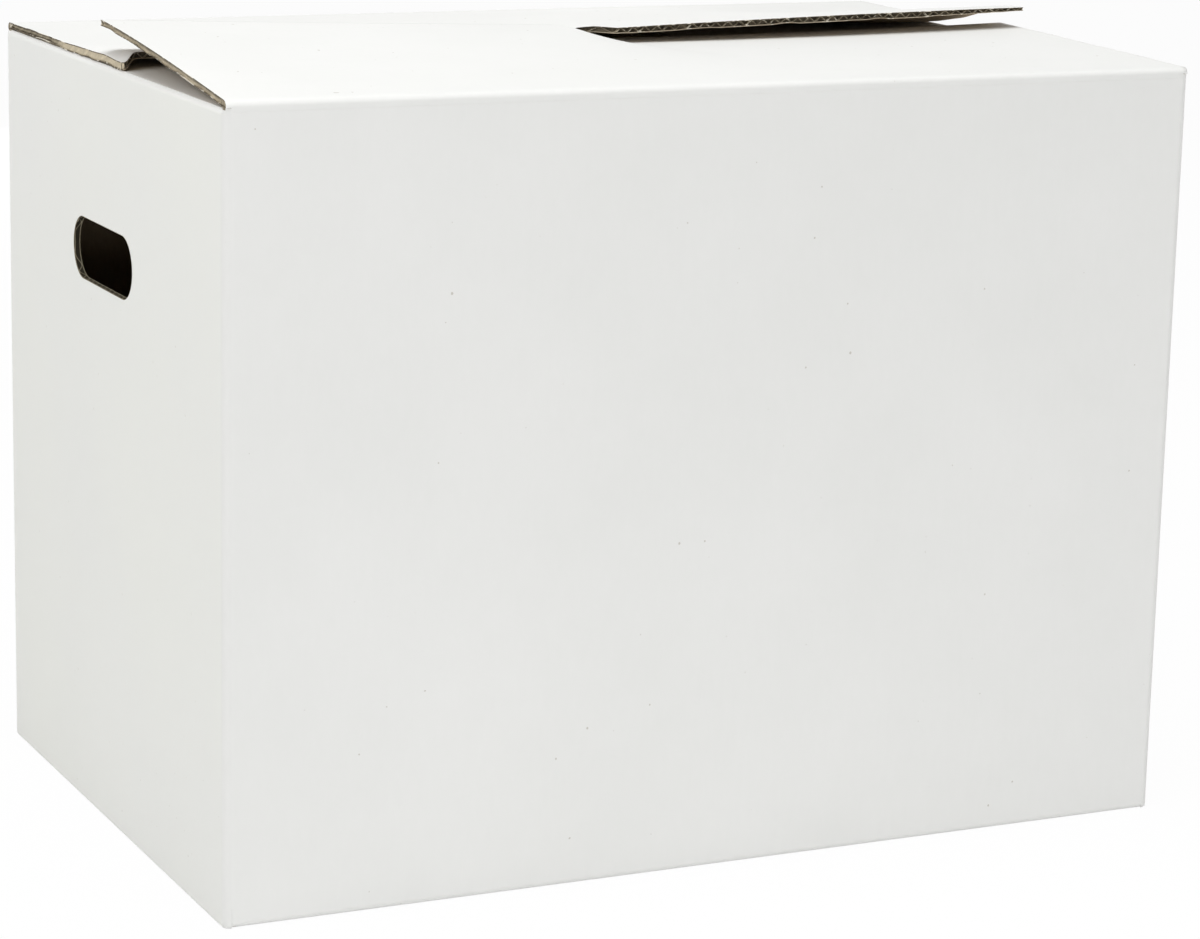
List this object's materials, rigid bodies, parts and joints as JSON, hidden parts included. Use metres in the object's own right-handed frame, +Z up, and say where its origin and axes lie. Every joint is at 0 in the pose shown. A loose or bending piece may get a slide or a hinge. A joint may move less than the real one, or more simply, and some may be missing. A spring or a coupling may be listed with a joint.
{
  "type": "moving box",
  "caption": "White corrugated moving box with hand holes in its ends, closed by long top flaps that hook into each other at notches in the middle of their edges.",
  "frame": {"origin": "middle of the footprint, on the surface the box stands on", "axes": "+X along the long front panel, +Y from the front panel to the rear panel, +Z up"},
  "size_m": [0.6, 0.399, 0.4761],
  "materials": {
    "white_board": "matte white liner with faint flute lines, beige paper at the cut edges"
  },
  "bodies": {
    "box": {"carton_body": "white_board"},
    "front_flap": {"front_top_flap": "white_board"},
    "rear_flap": {"rear_top_flap": "white_board"}
  },
  "joints": [
    {"name": "front_flap_fold", "type": "hinge", "parent": "box", "child": "front_flap", "pos_m": [0, -0.1995, 0.4555], "axis": [1, 0, 0], "range_deg": [0, 250]},
    {"name": "rear_flap_fold", "type": "hinge", "parent": "box", "child": "rear_flap", "pos_m": [0, 0.1995, 0.4555], "axis": [-1, 0, 0], "range_deg": [0, 250]}
  ],
  "couplings": [
    {"joint": "rear_flap_fold", "follows": "front_flap_fold", "ratio": 1}
  ]
}
